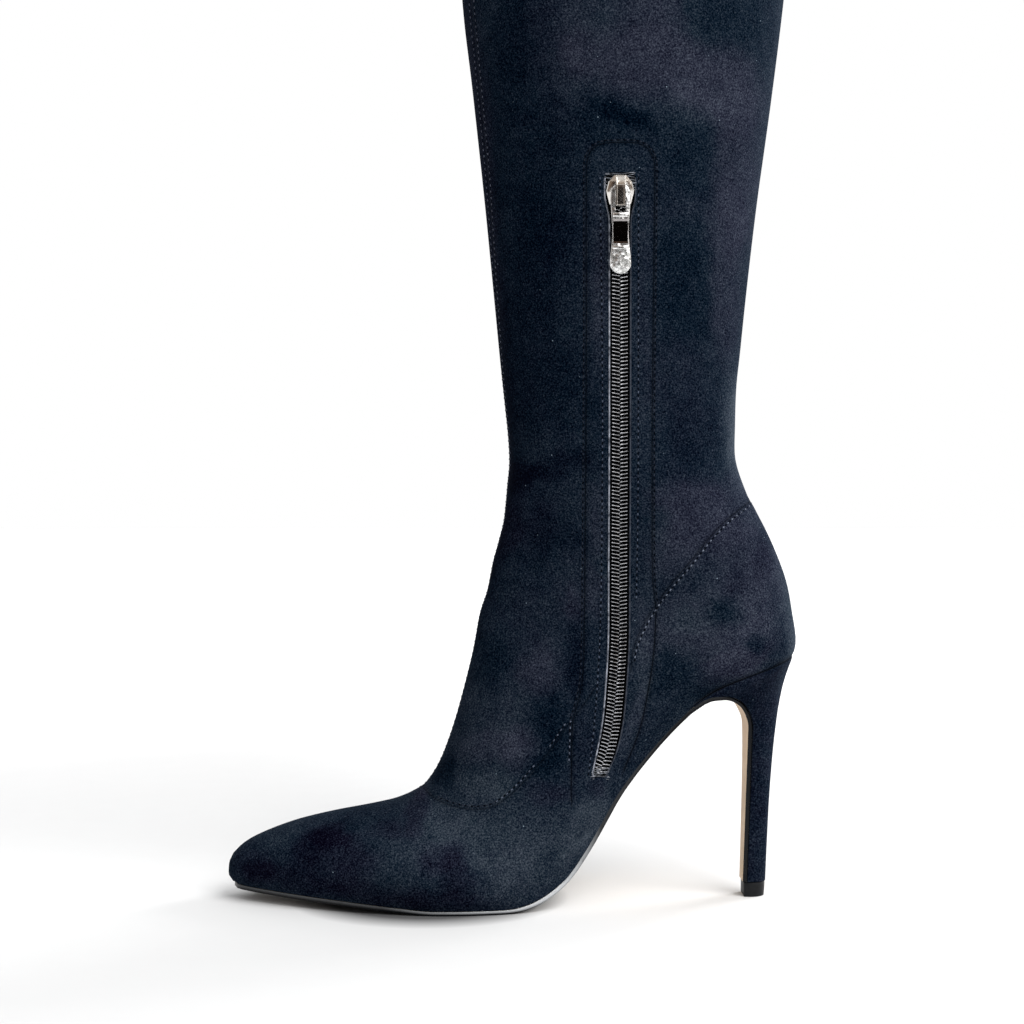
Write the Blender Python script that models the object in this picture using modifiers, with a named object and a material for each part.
"""Over-the-knee stiletto boot for the right foot, size 37, standing empty on its sole and heel tip.

Frame: +Z up, toe towards -X, medial (inner) side towards -Y, floor at Z = 0, X = 0 midway from toe
to heel. All tables are in millimetres on a size 37 pattern last and are graded to the driving sizes;
Blender gets metres.
"""

import math
from collections import namedtuple

import bmesh
import bpy
import numpy as np
from mathutils import Matrix, Vector
from mathutils.bvhtree import BVHTree

MM = 0.001

# Driving sizes, in millimetres
LENGTH = 225.5          # toe tip to the back of the counter
BALL_WIDTH = 76.0       # sole at the ball of the foot
HEEL_HEIGHT = 96.7      # back of the heel seat above the floor
SHAFT_HEIGHT = 650.0    # collar above the floor
WALL = 1.8              # suede and lining together
SOLE = 1.6              # leather outsole
INSOLE = 2.0            # board with its sock
GAP = 0.3               # clearance between touching pieces
TIP = 5.7               # rubber top piece
COUNTER_STEP = 0.5      # the counter stands this far out of the quarters

# The pattern last's own driving sizes: the tables below belong to these
PATTERN_LENGTH = 225.5
PATTERN_BALL = 76.0
PATTERN_HEEL = 96.7
PATTERN_SHAFT = 650.0

RING = 12               # faces round each side of a section
STEPS = 2               # mesh rows to each interval of a table
PLAIN_FROM = 28         # from this row of the section tables up, the shaft is plain enough for one

# Outline of the sole: x, sideways place of its centre line, half-width square to it
Outline = namedtuple("Outline", "x centre half")
OUTLINE = [
    Outline(-111.5, -4.5, 0.0),
    Outline(-109.0, -4.4, 6.0),
    Outline(-105.0, -4.2, 9.2),
    Outline(-100.0, -4.0, 12.4),
    Outline(-90.0, -3.5, 18.0),
    Outline(-80.0, -2.8, 23.0),
    Outline(-70.0, -2.0, 27.4),
    Outline(-60.0, -1.1, 31.1),
    Outline(-50.0, -0.2, 34.0),
    Outline(-40.0, 0.6, 36.2),
    Outline(-30.0, 1.2, 37.5),
    Outline(-20.0, 1.9, 38.0),
    Outline(-10.0, 2.6, 37.6),
    Outline(0.0, 3.4, 36.4),
    Outline(10.0, 4.0, 34.4),
    Outline(20.0, 4.3, 31.8),
    Outline(30.0, 4.2, 29.0),
    Outline(40.0, 3.8, 26.8),
    Outline(50.0, 3.2, 25.2),
    Outline(60.0, 2.4, 24.5),
    Outline(70.0, 1.6, 24.7),
    Outline(80.0, 0.9, 25.5),
    Outline(90.0, 0.3, 26.0),
    Outline(98.0, 0.1, 24.3),
    Outline(104.0, 0.0, 19.6),
    Outline(108.0, 0.0, 13.8),
    Outline(110.2, 0.0, 7.8),
    Outline(111.3, 0.0, 0.0),
]

# Underside of the upper in side view: toe spring, ball, shank and the cupped heel seat
Profile = namedtuple("Profile", "x z")
BOTTOM = [
    Profile(-111.5, 6.6),
    Profile(-90.0, 5.8),
    Profile(-63.0, 4.4),
    Profile(-45.0, 3.0),
    Profile(-30.0, 1.9),
    Profile(-4.0, 1.9),
    Profile(5.0, 3.2),
    Profile(12.0, 6.3),
    Profile(21.0, 13.6),
    Profile(28.0, 23.4),
    Profile(35.0, 35.2),
    Profile(39.4, 43.0),
    Profile(45.0, 51.0),
    Profile(51.2, 58.8),
    Profile(57.8, 66.5),
    Profile(65.4, 74.4),
    Profile(71.7, 80.2),
    Profile(78.0, 84.5),
    Profile(85.5, 88.0),
    Profile(98.6, 92.8),
    Profile(111.3, 96.7),
]

# Sections of the last. Each lies in a plane square to the side view, from a point on the front line of
# the boot to one on its back line or underside. The planes fan round the ankle, upright in the forefoot
# and level in the shaft. ridge is the sideways place of the front point, medial and lateral are the
# widest half-widths, widest is their place from front (0) to back (1), and round_front and round_back
# are the superellipse powers before and behind it (2 is an ellipse, less is leaner, more is boxier).
Section = namedtuple(
    "Section", "front_x front_z back_x back_z ridge medial lateral widest round_front round_back"
)
NOSE = [
    Section(-113.9, 10.6, -113.9, 10.5, -4.5, 0.0, 0.0, 0.60, 2.0, 2.0),
    Section(-113.3, 15.2, -113.3, 8.5, -4.5, 4.0, 4.0, 0.60, 2.0, 2.0),
    Section(-112.0, 17.8, -111.5, 6.6, -4.5, 6.8, 6.8, 0.62, 2.0, 2.1),
]
# Foot: back_z follows BOTTOM, and the section ends there in the sole's flat bed
FOOT = [
    Section(-109.5, 20.4, -109.0, 0.0, -4.5, 9.4, 9.4, 0.64, 2.0, 2.1),
    Section(-105.2, 23.5, -104.5, 0.0, -4.5, 12.6, 12.7, 0.66, 2.0, 2.1),
    Section(-97.0, 27.2, -96.0, 0.0, -4.3, 17.2, 17.4, 0.68, 2.0, 2.1),
    Section(-86.0, 30.9, -84.0, 0.0, -4.1, 23.2, 23.5, 0.70, 2.0, 2.1),
    Section(-72.0, 34.1, -68.0, 0.0, -3.8, 29.9, 30.4, 0.71, 1.95, 2.1),
    Section(-58.0, 36.6, -50.0, 0.0, -3.4, 35.9, 36.6, 0.72, 1.9, 2.1),
    Section(-48.0, 38.8, -32.0, 0.0, -2.9, 39.4, 40.4, 0.72, 1.85, 2.1),
    Section(-40.5, 41.9, -14.0, 0.0, -2.4, 40.0, 41.6, 0.72, 1.8, 2.1),
    Section(-35.5, 45.4, 2.0, 0.0, -1.9, 38.9, 40.4, 0.72, 1.75, 2.15),
    Section(-31.6, 50.6, 16.0, 0.0, -1.5, 36.9, 38.3, 0.71, 1.75, 2.2),
    Section(-28.6, 56.6, 28.0, 0.0, -1.1, 34.8, 36.2, 0.69, 1.8, 2.25),
    Section(-26.0, 63.4, 38.0, 0.0, -0.8, 33.4, 34.6, 0.67, 1.85, 2.3),
    Section(-23.4, 71.4, 50.0, 0.0, -0.5, 32.4, 33.3, 0.66, 1.9, 2.3),
    Section(-21.0, 80.0, 64.0, 0.0, -0.3, 31.8, 32.4, 0.65, 1.95, 2.3),
    Section(-18.4, 90.0, 80.0, 0.0, 0.0, 31.4, 31.8, 0.64, 2.0, 2.3),
    Section(-15.5, 101.6, 96.0, 0.0, 0.0, 31.3, 31.5, 0.64, 2.0, 2.4),
    Section(-12.7, 113.5, 107.0, 0.0, 0.0, 31.4, 31.5, 0.64, 2.0, 2.7),
]
SHAFT = [
    Section(-10.5, 123.0, 111.3, 96.7, 0.0, 31.6, 31.7, 0.64, 2.0, 2.45),
    Section(-8.8, 130.5, 113.3, 104.2, 0.0, 31.8, 31.9, 0.63, 2.0, 2.25),
    Section(-6.4, 141.0, 112.5, 113.0, 0.0, 32.2, 32.2, 0.61, 2.05, 2.1),
    Section(-4.3, 151.0, 109.2, 126.4, 0.0, 32.6, 32.6, 0.59, 2.1, 2.0),
    Section(-2.6, 162.0, 102.8, 142.7, 0.0, 33.1, 33.1, 0.56, 2.1, 2.0),
    Section(-1.6, 173.0, 95.1, 158.2, 0.0, 33.7, 33.7, 0.53, 2.1, 2.0),
    Section(-2.2, 184.5, 90.0, 172.5, 0.0, 34.3, 34.3, 0.52, 2.1, 2.05),
    Section(-3.5, 197.0, 88.8, 188.0, 0.0, 35.0, 35.0, 0.51, 2.1, 2.1),
    Section(-5.5, 216.0, 90.4, 211.0, 0.0, 36.8, 36.8, 0.50, 2.1, 2.1),
    Section(-8.3, 245.0, 93.6, 243.0, 0.0, 40.2, 40.2, 0.50, 2.1, 2.1),
    Section(-11.7, 279.5, 97.9, 279.5, 0.0, 44.6, 44.6, 0.50, 2.1, 2.1),
    Section(-16.1, 320.0, 103.5, 320.0, 0.0, 49.2, 49.2, 0.50, 2.1, 2.1),
    Section(-20.6, 360.0, 108.4, 360.0, 0.0, 52.4, 52.4, 0.50, 2.1, 2.1),
    Section(-23.9, 400.0, 112.3, 400.0, 0.0, 54.2, 54.2, 0.50, 2.1, 2.1),
    Section(-25.0, 440.0, 111.4, 440.0, 0.0, 54.8, 54.8, 0.50, 2.1, 2.1),
    Section(-24.4, 480.0, 106.6, 480.0, 0.0, 54.6, 54.6, 0.50, 2.1, 2.1),
    Section(-24.0, 520.0, 102.4, 520.0, 0.0, 55.0, 55.0, 0.50, 2.1, 2.1),
    Section(-25.4, 560.0, 102.4, 560.0, 0.0, 57.0, 57.0, 0.50, 2.1, 2.1),
    Section(-29.2, 605.0, 106.4, 604.0, 0.0, 60.8, 60.8, 0.50, 2.1, 2.1),
    Section(-34.0, 652.0, 112.0, 648.0, 0.0, 65.0, 65.0, 0.50, 2.1, 2.1),
]

# Counter in side view, with its seam from the back of the heel to the zip facing and down to the sole
COUNTER_SEAM = [
    Profile(130.0, 176.0),
    Profile(94.7, 158.0),
    Profile(77.7, 145.5),
    Profile(66.0, 132.0),
    Profile(57.0, 119.5),
    Profile(54.2, 102.0),
    Profile(52.0, 85.0),
    Profile(48.4, 70.0),
    Profile(42.4, 55.0),
    Profile(37.5, 45.0),
]

# Underside of the outsole in side view from the end of the shank: under the arch, then down the heel's
# breast. half is its half-width, which follows the heel.
Breast = namedtuple("Breast", "x z half")
BREAST = [
    Breast(74.2, 79.0, 24.4),
    Breast(78.0, 80.3, 23.2),
    Breast(82.5, 80.4, 20.6),
    Breast(86.5, 79.3, 17.4),
    Breast(89.8, 76.8, 13.8),
    Breast(92.1, 73.0, 11.0),
    Breast(93.3, 68.0, 9.0),
    Breast(93.2, 58.0, 7.4),
    Breast(92.8, 42.0, 6.1),
    Breast(92.2, 22.0, 5.3),
    Breast(91.7, 6.1, 4.8),
]

# Heel: its sections fan from the seat to level ones in the stem. front_half is the half-width at the
# breast.
HeelRow = namedtuple("HeelRow", "front_x front_z back_x back_z front_half half widest round_back")
HEEL = [
    HeelRow(66.0, 87.0, 113.2, 106.5, 25.2, 26.6, 0.50, 2.3),
    HeelRow(67.5, 80.2, 111.8, 97.4, 24.9, 26.5, 0.48, 2.3),
    HeelRow(74.0, 76.8, 110.5, 92.6, 21.6, 23.0, 0.42, 2.2),
    HeelRow(81.0, 75.0, 109.2, 88.2, 17.6, 18.8, 0.40, 2.1),
    HeelRow(87.0, 72.6, 108.1, 83.6, 13.6, 14.6, 0.38, 2.0),
    HeelRow(90.6, 69.2, 107.0, 78.0, 10.8, 11.6, 0.36, 2.0),
    HeelRow(92.2, 64.6, 105.9, 70.8, 9.0, 9.6, 0.34, 2.0),
    HeelRow(92.6, 55.0, 104.4, 57.5, 7.5, 7.9, 0.32, 2.0),
    HeelRow(92.2, 40.0, 103.1, 41.0, 6.3, 6.6, 0.30, 2.0),
    HeelRow(91.6, 22.0, 102.1, 22.2, 5.5, 5.7, 0.30, 2.0),
    HeelRow(91.2, 4.0, 101.3, 4.0, 5.0, 5.2, 0.30, 2.0),
]

# Zip, in side view: the middle line of the chain, from its top end to its foot
ZIP_LINE = [
    Profile(40.6, 284.0),
    Profile(40.8, 240.0),
    Profile(41.0, 180.0),
    Profile(40.9, 112.0),
    Profile(39.8, 88.0),
    Profile(38.2, 70.0),
    Profile(36.5, 61.0),
    Profile(34.2, 53.2),
]
ZIP_STATIONS = 28
SLOT_WIDTH = 8.8        # opening along the chain
SLOT_HEAD = 13.0        # opening round the slider
HEAD_FROM = 269.0       # the slot widens above this height
CHAIN_WIDTH = 6.3
CHAIN_TOP = 274.0       # the closed chain ends in the slider
CHAIN_DEPTH = 0.4       # the chain's face lies this far below the skin
TAPE_WIDTH = 22.0
TAPE_THICK = 0.6

# Slider and pull, each in its own frame: X across the chain, Z up, Y into the leg, from the leg's skin
SLIDER_AT = Profile(40.7, 275.0)
Outer = namedtuple("Outer", "z half")
SLIDER_PLATE = [
    Outer(5.8, 2.4),
    Outer(3.2, 4.4),
    Outer(-0.4, 5.3),
    Outer(-1.6, 5.0),
    Outer(-5.7, 3.9),
]
PLATE = 1.4             # thickness of each of the slider's two plates
POST = 2.6              # side of the post that joins them
POST_FOOT = 1.0         # the post starts this far above the slider's middle
BAIL_WIDTH = 3.2
BAIL_THICK = 1.1
BAIL_TOP = 5.4
BAIL_FOOT = -6.3
HINGE_UP = 0.8          # the pull's hinge axis above the slider's middle
BAR = 1.4               # thickness of the pull, and of the cross bar that turns under the bail
PULL = [
    Outer(0.7, 3.4),
    Outer(-0.6, 3.75),
    Outer(-6.4, 3.85),
    Outer(-11.5, 3.4),
    Outer(-16.6, 3.05),
    Outer(-22.0, 3.4),
    Outer(-26.0, 3.85),
    Outer(-28.7, 3.95),
]
PULL_EYE = (-0.7, -9.4)  # top and foot of the eye that goes round the bail
EYE_HALF = 1.95


def grade(x, y, z):
    """A point of the pattern last, in millimetres, at the boot's own sizes, in metres."""
    above = max(z - PATTERN_HEEL, 0.0)
    rise = (SHAFT_HEIGHT - HEEL_HEIGHT) / (PATTERN_SHAFT - PATTERN_HEEL)
    height = min(z, PATTERN_HEEL) * HEEL_HEIGHT / PATTERN_HEEL + above * rise
    return (x * MM * LENGTH / PATTERN_LENGTH, y * MM * BALL_WIDTH / PATTERN_BALL, height * MM)


def smooth(knots, values, at):
    """A smooth curve through (knots, values) that never swings past a row, read at at."""
    knots, values = np.asarray(knots, float), np.asarray(values, float)
    step = np.diff(knots)
    slope = np.diff(values) / step
    tangent = np.empty(len(knots))
    tangent[0], tangent[-1] = slope[0], slope[-1]
    weight = step[:-1] / (step[:-1] + step[1:])
    tangent[1:-1] = slope[:-1] * (1 - weight) + slope[1:] * weight
    limit = 3 * np.minimum(abs(slope[:-1]), abs(slope[1:])) * (slope[:-1] * slope[1:] > 0)
    tangent[1:-1] = np.clip(tangent[1:-1], -limit, limit)
    at = np.clip(at, knots[0], knots[-1])
    i = np.clip(np.searchsorted(knots, at, side="right") - 1, 0, len(step) - 1)
    t = (at - knots[i]) / step[i]
    start = values[i] * (1 + 2 * t) * (1 - t) ** 2 + tangent[i] * step[i] * t * (1 - t) ** 2
    return start + values[i + 1] * t * t * (3 - 2 * t) - tangent[i + 1] * step[i] * t * t * (1 - t)


def column(table, name):
    return [getattr(row, name) for row in table]


def half_width(x):
    """Half the sole's width at x. Its square is what the curve follows, so that toe and heel end round."""
    return math.sqrt(max(smooth(column(OUTLINE, "x"), [row.half ** 2 for row in OUTLINE], x), 0.0))


def centre_line(x):
    return float(smooth(column(OUTLINE, "x"), column(OUTLINE, "centre"), x))


def bottom_height(x):
    return float(smooth(column(BOTTOM, "x"), column(BOTTOM, "z"), x))


def blend_row(table, at):
    """The smooth row of a table at a place between its rows, counted from 0."""
    names = table[0]._fields
    return type(table[0])(*(float(smooth(range(len(table)), column(table, name), at)) for name in names))


def last_sections():
    """The rows of the section tables and those between them, each with the sole's half-width there."""
    table = NOSE + [row._replace(back_z=bottom_height(row.back_x)) for row in FOOT] + SHAFT
    heel_row = len(NOSE) + len(FOOT)
    rows = []
    fine = [index / STEPS for index in range(PLAIN_FROM * STEPS)]
    for at in fine + list(range(PLAIN_FROM, len(table))):
        row = blend_row(table, at)
        on_sole = len(NOSE) - 1 < at < heel_row
        if on_sole:
            row = row._replace(back_z=bottom_height(row.back_x))
        rows.append((row, half_width(row.back_x) if on_sole else 0.0))
    return rows


def section_ring(row, sole_half):
    """Points round one section, from the medial end of the sole over the front to the lateral end."""
    back_centre = centre_line(row.back_x)
    ring = []
    for j in range(-RING, RING + 1):
        share = abs(j) / RING
        widest = row.medial if j < 0 else row.lateral
        if share <= 0.5:
            turn = share * math.pi
            along = row.widest * (1 - math.cos(turn) ** (2 / row.round_front))
            half = widest * math.sin(turn) ** (2 / row.round_front)
        else:
            inset = min(sole_half / widest, 0.999) if widest else 0.0
            end = math.acos(inset ** (row.round_back / 2))
            turn = (2 * share - 1) * end
            reach = math.sin(turn) ** (2 / row.round_back) / math.sin(end) ** (2 / row.round_back)
            along = row.widest + (1 - row.widest) * reach
            half = widest * max(math.cos(turn), 0.0) ** (2 / row.round_back)
        x = row.front_x + along * (row.back_x - row.front_x)
        z = row.front_z + along * (row.back_z - row.front_z)
        middle = row.ridge + along * (back_centre - row.ridge)
        ring.append(grade(x, middle + math.copysign(half, j), z))
    return ring


def grid_mesh(rows):
    """An open surface through rows of points, facing to the right of a walk along the rows."""
    mesh = bmesh.new()
    grid = [[mesh.verts.new(point) for point in row] for row in rows]
    for row, after in zip(grid, grid[1:]):
        for a, b, c, d in zip(row, row[1:], after[1:], after):
            mesh.faces.new((a, d, c, b))
    bmesh.ops.remove_doubles(mesh, verts=mesh.verts, dist=1e-6)
    bmesh.ops.dissolve_degenerate(mesh, edges=mesh.edges, dist=1e-6)
    return mesh


def loft_mesh(rings):
    """A closed solid through rings of points with a flat cap at each end."""
    mesh = bmesh.new()
    loops = [[mesh.verts.new(point) for point in ring] for ring in rings]
    for loop, after in zip(loops, loops[1:]):
        for i in range(len(loop)):
            k = (i + 1) % len(loop)
            mesh.faces.new((loop[i], loop[k], after[k], after[i]))
    mesh.faces.new(loops[0][::-1])
    mesh.faces.new(loops[-1])
    bmesh.ops.recalc_face_normals(mesh, faces=mesh.faces)
    return mesh


def prism_mesh(outline, near, far):
    """A closed prism: a side-view outline of (x, z) in metres, carried from Y = near to Y = far."""
    return loft_mesh([[(x, y, z) for x, z in outline] for y in (near, far)])


def add_object(name, mesh, collection, material=None, smooth_angle=40):
    data = bpy.data.meshes.new(name)
    mesh.to_mesh(data)
    mesh.free()
    obj = bpy.data.objects.new(name, data)
    collection.objects.link(obj)
    if material:
        data.materials.append(material)
        data.shade_smooth()
        data.set_sharp_from_angle(angle=math.radians(smooth_angle))
    else:
        obj.hide_render = True
        obj.display_type = "WIRE"
    return obj


def add_solidify(obj, thickness):
    """A wall of this thickness in metres, grown from the surface against its normals."""
    modifier = obj.modifiers.new("wall", "SOLIDIFY")
    modifier.thickness = thickness
    modifier.offset = -1
    modifier.use_even_offset = True


def add_boolean(obj, other, operation):
    modifier = obj.modifiers.new(f"{operation.lower()} {other.name}", "BOOLEAN")
    modifier.operation = operation
    modifier.solver = "EXACT"
    modifier.object = other


def add_bevel(obj, width, segments=2, angle=40):
    modifier = obj.modifiers.new("edges", "BEVEL")
    modifier.width = width
    modifier.segments = segments
    modifier.limit_method = "ANGLE"
    modifier.angle_limit = math.radians(angle)


def new_material(name, colour, roughness, metallic=0.0):
    material = bpy.data.materials.new(name)
    material.use_nodes = True
    shader = material.node_tree.nodes["Principled BSDF"]
    shader.inputs["Base Color"].default_value = (*colour, 1.0)
    shader.inputs["Roughness"].default_value = roughness
    shader.inputs["Metallic"].default_value = metallic
    return material


def last_surface():
    """The outside of the whole leg as an open surface, closed over the toe, open at collar and sole."""
    return grid_mesh([section_ring(row, sole_half) for row, sole_half in last_sections()])


def side_offset(points, distance):
    """A side-view line of (x, z) points moved square to itself, to the left of its direction."""
    points = np.asarray(points, float)
    ahead = np.gradient(points, axis=0)
    ahead /= np.linalg.norm(ahead, axis=1)[:, None]
    return points + distance * np.column_stack([-ahead[:, 1], ahead[:, 0]])


def spread(table, steps):
    """The rows of a table with steps smooth rows to each interval."""
    last = len(table) - 1
    return [blend_row(table, at) for at in np.linspace(0, last, last * steps + 1)]


def bottom_line(first_x, last_x, spacing):
    """Points (x, z) along the underside of the upper."""
    xs = np.linspace(first_x, last_x, max(int(round((last_x - first_x) / spacing)), 2) + 1)
    return np.column_stack([xs, [bottom_height(x) for x in xs]])


def in_metres(outline):
    """A side-view outline at the boot's own sizes, in metres."""
    graded = [grade(x, 0, z) for x, z in outline]
    return [(x, z) for x, _, z in graded]


def build_upper(parts, cutters, suede):
    """The hollow leg: one wall over the last, with the counter's step and the slot for the zip."""
    upper = add_object("upper", last_surface(), parts, suede)
    add_solidify(upper, WALL * MM)

    patch = last_surface()
    patch.normal_update()
    for vert in patch.verts:
        vert.co += vert.normal * COUNTER_STEP * MM
    counter = add_object("counter_form", patch, cutters)
    add_solidify(counter, 0.7 * WALL * MM)
    seam = [(row.x, row.z) for row in COUNTER_SEAM]
    foot = side_offset(bottom_line(COUNTER_SEAM[-1].x, 111.3, 6.0), 0.5)
    behind = [(130.0, 97.5)]
    panel = prism_mesh(in_metres(seam + [tuple(point) for point in foot] + behind), -0.08, 0.08)
    add_boolean(counter, add_object("counter_outline", panel, cutters), "INTERSECT")
    add_boolean(upper, counter, "UNION")

    slot = prism_mesh(in_metres(slot_outline()), -0.09, -0.012)
    add_boolean(upper, add_object("zip_slot", slot, cutters), "DIFFERENCE")


def build_insole(parts, lining):
    """The board and sock inside the wall, bedded level with the upper's lower edge."""
    inset = WALL + 2 * GAP
    shrink = 1 - 2 * inset / (OUTLINE[-1].x - OUTLINE[0].x)
    line = bottom_line(OUTLINE[0].x * shrink, OUTLINE[-1].x * shrink, 6.0)
    rows = []
    for (x, _), (top_x, top_z) in zip(line, side_offset(line, INSOLE)):
        half = half_width(x / shrink)
        half -= inset * min(1.0, half / 12)
        rows.append([grade(top_x, centre_line(x) + half * side, top_z) for side in np.linspace(-1, 1, 5)])
    add_solidify(add_object("insole", grid_mesh(rows), parts, lining), INSOLE * MM)


def build_sole(parts, leather):
    """One sheet of leather: flat bed under the ball, up the shank and down the breast of the heel."""
    line = bottom_line(OUTLINE[0].x, 68.0, 5.0)
    rows = []
    for (x, _), (bed_x, bed_z) in zip(line, side_offset(line, -GAP)):
        half = max(half_width(x) - GAP, 0.0)
        rows.append([grade(bed_x, centre_line(x) + half * side, bed_z) for side in np.linspace(-1, 1, 5)])
    flap = spread(BREAST, 2)
    for row, (x, z) in zip(flap, side_offset([(row.x, row.z) for row in flap], SOLE)):
        middle = centre_line(x) * min(max((row.z - 72) / 7, 0.0), 1.0)
        rows.append([grade(x, middle + row.half * side, z) for side in np.linspace(-1, 1, 5)])
    add_solidify(add_object("outsole", grid_mesh(rows), parts, leather), SOLE * MM)


def heel_ring(row, sides=12):
    """Points round one section of the heel: flat across the breast, round at the back."""
    def point(along, across):
        x = row.front_x + along * (row.back_x - row.front_x)
        z = row.front_z + along * (row.back_z - row.front_z)
        return grade(x, across, z)

    half = [(0.0, row.front_half), (row.widest * 0.5, (row.front_half + 3 * row.half) / 4)]
    for turn in np.linspace(0, math.pi / 2, sides // 2 + 2):
        power = 2 / row.round_back
        along = row.widest + (1 - row.widest) * math.sin(turn) ** power
        half.append((along, row.half * abs(math.cos(turn)) ** power))
    medial = [point(along, -across) for along, across in half]
    lateral = [point(along, across) for along, across in half[-2::-1]]
    return medial + lateral


def build_heel(parts, cutters, suede, rubber):
    """The covered heel under the cupped seat, behind the outsole's flap, and the top piece it walks on."""
    heel = add_object("heel", loft_mesh([heel_ring(row) for row in HEEL]), parts, suede)
    seat = side_offset(bottom_line(68.0, 111.3, 4.0), -GAP)
    seat = [tuple(point) for point in seat] + [(125.0, seat[-1][1] + 4.0), (125.0, TIP + GAP)]
    front = side_offset([(row.x, row.z) for row in spread(BREAST, 2)], SOLE + GAP)
    front = [(front[-1][0], TIP + GAP)] + [tuple(point) for point in front[::-1] if point[1] > TIP + 2]
    shape = prism_mesh(in_metres(seat + front), -0.04, 0.04)
    add_boolean(heel, add_object("heel_side", shape, cutters), "INTERSECT")

    foot = HEEL[-1]._replace(front_x=BREAST[-1].x + 0.5, front_half=4.7, half=4.9)
    rings = [heel_ring(foot._replace(front_z=z, back_z=z, back_x=100.8 + z / 15)) for z in (0.0, TIP)]
    add_object("heel_tip", loft_mesh(rings), parts, rubber)


def zip_middle(z):
    """The chain's x at height z."""
    line = ZIP_LINE[::-1]
    return float(smooth(column(line, "z"), column(line, "x"), z))


def slot_outline():
    """The slot in side view: two edges beside the chain's middle line, wider round the slider."""
    foot, top = ZIP_LINE[-1].z - 1.5, ZIP_LINE[0].z
    heights = list(np.linspace(foot, 112.0, 9)) + [190.0, HEAD_FROM - 3]
    front = [(zip_middle(z) - SLOT_WIDTH / 2, z) for z in heights]
    back = [(zip_middle(z) + SLOT_WIDTH / 2, z) for z in heights]
    corners = ((1, HEAD_FROM), (1, top), (-1, top), (-1, HEAD_FROM))
    head = [(zip_middle(z) + side * SLOT_HEAD / 2, z) for side, z in corners]
    return back + head + front[::-1]


def medial_skin():
    """A reader of the medial outside: skin(x, z) in millimetres gives the point and its outward normal."""
    surface = last_surface()
    tree = BVHTree.FromBMesh(surface)
    surface.free()

    def skin(x, z):
        point, normal, _, _ = tree.ray_cast(Vector((x * MM, -0.2, z * MM)), Vector((0, 1, 0)))
        return point, -normal if normal.y > 0 else normal

    return skin


def skin_strip(skin, width, depth, foot, top, columns):
    """An open strip down the chain's line, depth below the skin, narrowed where it nears the sole."""
    rows = []
    for z in np.linspace(top, foot, ZIP_STATIONS):
        half = min(width / 2, 7 + (z - foot) / 4)
        row = []
        for side in np.linspace(-1, 1, columns):
            point, normal = skin(zip_middle(z) + side * half, z)
            row.append(point - normal * depth * MM)
        rows.append(row)
    return grid_mesh(rows)


def box_mesh(low, high):
    """A box between two corners, in millimetres."""
    mesh = bmesh.new()
    bmesh.ops.create_cube(mesh, size=1.0)
    size = [(b - a) * MM for a, b in zip(low, high)]
    middle = [(a + b) / 2 * MM for a, b in zip(low, high)]
    matrix = Matrix.Translation(middle) @ Matrix.Diagonal((*size, 1))
    bmesh.ops.transform(mesh, matrix=matrix, verts=mesh.verts)
    return mesh


def front_prism(outer, back, front):
    """A plate in a local frame: mirrored rows of (z, half), from Y = back to Y = front, in millimetres."""
    side = [(row.half * MM, row.z * MM) for row in outer]
    outline = side + [(-x, z) for x, z in side[::-1]]
    return prism_mesh(outline, back * MM, front * MM)


def slider_frame(skin):
    """The slider's place on the skin: X level across the chain, Y into the leg, Z up along the chain."""
    point, normal = skin(SLIDER_AT.x, SLIDER_AT.z)
    across = (-normal).cross(Vector((0, 0, 1))).normalized()
    inward = -normal.normalized()
    up = across.cross(inward)
    return Matrix.Translation(point) @ Matrix((across, inward, up)).transposed().to_4x4()


def build_zip(parts, cutters, skin, cloth, nickel, dark_nickel):
    """Tape, chain and slider, laid on the skin of the medial side."""
    tape_depth = WALL + 2 * GAP
    tape = skin_strip(skin, TAPE_WIDTH, tape_depth, ZIP_LINE[-1].z - 4, ZIP_LINE[0].z + 3, 3)
    tape = add_object("zip_tape", tape, parts, cloth)
    add_solidify(tape, TAPE_THICK * MM)

    chain = skin_strip(skin, CHAIN_WIDTH, CHAIN_DEPTH, ZIP_LINE[-1].z, CHAIN_TOP, 2)
    chain = add_object("zip_teeth", chain, parts, dark_nickel)
    add_solidify(chain, (tape_depth - 2 * GAP - CHAIN_DEPTH) * MM)

    place = slider_frame(skin)
    side = POST / 2 + GAP
    notch = add_object("post_notch", box_mesh((-side, -5, POST_FOOT - GAP), (side, 9, 20)), cutters)
    notch.matrix_world = place
    add_boolean(tape, notch, "DIFFERENCE")

    back = CHAIN_DEPTH - GAP
    front = back - PLATE
    slider = add_object("zip_slider", front_prism(SLIDER_PLATE, back, front), parts, nickel)
    slider.matrix_world = place
    inner = tape_depth + TAPE_THICK + 3 * GAP
    rear = [row._replace(half=row.half * 0.7) for row in SLIDER_PLATE]
    low, high = (-POST / 2, front + 0.5, POST_FOOT), (POST / 2, inner + 0.5, POST_FOOT + POST)
    pieces = [
        ("slider_rear", front_prism(rear, inner + PLATE, inner)),
        ("slider_post", box_mesh(low, high)),
        ("slider_bail", bail_mesh(front)),
    ]
    for name, mesh in pieces:
        piece = add_object(name, mesh, cutters)
        piece.matrix_world = place
        add_boolean(slider, piece, "UNION")
    return place, front


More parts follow.
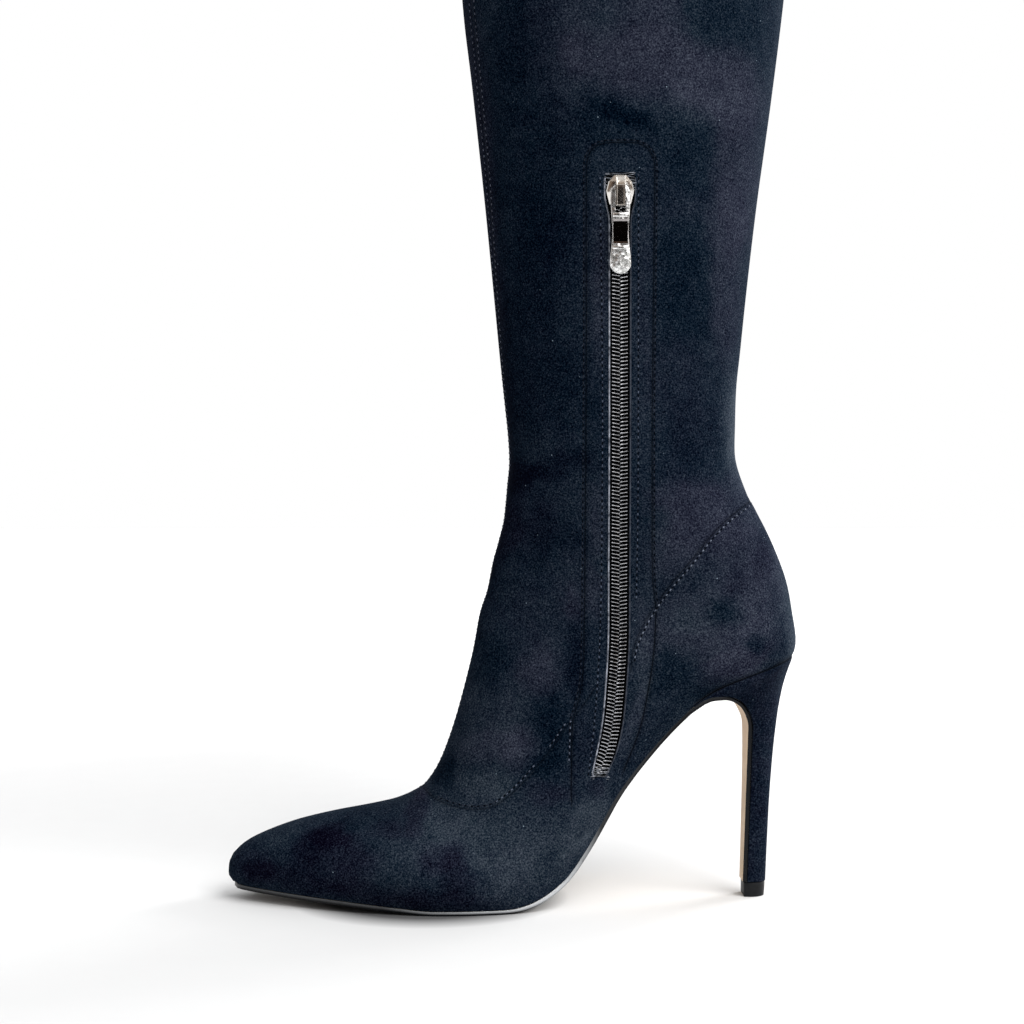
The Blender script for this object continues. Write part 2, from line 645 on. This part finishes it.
def bail_mesh(front):
    """The flat loop on the slider's front plate: it leaves the plate at its top and comes back below."""
    reach = front - 2 * GAP - BAR - BAIL_THICK
    under = reach + BAIL_THICK
    half = BAIL_WIDTH / 2 * MM
    outside = [(front + 0.5, BAIL_TOP), (front - 1.0, BAIL_TOP), (reach, BAIL_TOP - 2.2),
               (reach, BAIL_FOOT + 1.2), (front - 1.2, BAIL_FOOT), (front + 0.5, BAIL_FOOT + 1.0)]
    inside = [(front + 0.5, BAIL_FOOT + 2.2), (front - 0.9, BAIL_FOOT + 1.3), (under, BAIL_FOOT + 2.0),
              (under, BAIL_TOP - 2.6), (front - 0.6, BAIL_TOP - 1.2), (front + 0.5, BAIL_TOP - 1.2)]
    side = outside + inside
    return loft_mesh([[(x, y * MM, z * MM) for y, z in side] for x in (-half, half)])


def build_pull(parts, cutters, place, front, nickel):
    """The pull tab, hanging straight down from the bail. Its origin is on the hinge axis."""
    axis = place @ Vector((0, (front - GAP - BAR / 2) * MM, HINGE_UP * MM))
    across = place.to_3x3() @ Vector((1, 0, 0))
    down = Vector((0, 0, -1))
    turn = Matrix((across, down.cross(across), -down)).transposed()
    frame = Matrix.Translation(axis) @ turn.to_4x4()

    last = PULL[-1]
    turns = np.linspace(0, math.pi / 2, 6)[1:-1]
    tip = [Outer(last.z - last.half * math.sin(at), last.half * math.cos(at)) for at in turns]
    tip.append(Outer(last.z - last.half, 0.5))
    pull = add_object("zip_pull", front_prism(PULL + tip, BAR / 2, -BAR / 2), parts, nickel)
    pull.matrix_world = frame
    eye = add_object("pull_eye", box_mesh((-EYE_HALF, -3, PULL_EYE[1]), (EYE_HALF, 3, PULL_EYE[0])), cutters)
    eye.matrix_world = frame
    add_boolean(pull, eye, "DIFFERENCE")
    add_bevel(pull, 0.3 * MM)


def main():
    for obj in list(bpy.data.objects):
        bpy.data.objects.remove(obj)
    parts = bpy.data.collections.new("over_the_knee_boot")
    cutters = bpy.data.collections.new("cutters")
    for collection in (parts, cutters):
        bpy.context.scene.collection.children.link(collection)

    suede = new_material("black_suede", (0.012, 0.014, 0.022), 0.95)
    leather = new_material("outsole_leather", (0.05, 0.06, 0.08), 0.35)
    rubber = new_material("black_rubber", (0.01, 0.01, 0.012), 0.6)
    lining = new_material("lining", (0.03, 0.03, 0.035), 0.8)
    cloth = new_material("zip_cloth", (0.01, 0.01, 0.012), 0.9)
    nickel = new_material("nickel", (0.75, 0.74, 0.72), 0.2, 1.0)
    dark_nickel = new_material("dark_nickel", (0.3, 0.3, 0.3), 0.3, 1.0)

    build_upper(parts, cutters, suede)
    build_insole(parts, lining)
    build_sole(parts, leather)
    build_heel(parts, cutters, suede, rubber)
    skin = medial_skin()
    place, front = build_zip(parts, cutters, skin, cloth, nickel, dark_nickel)
    build_pull(parts, cutters, place, front, nickel)


main()
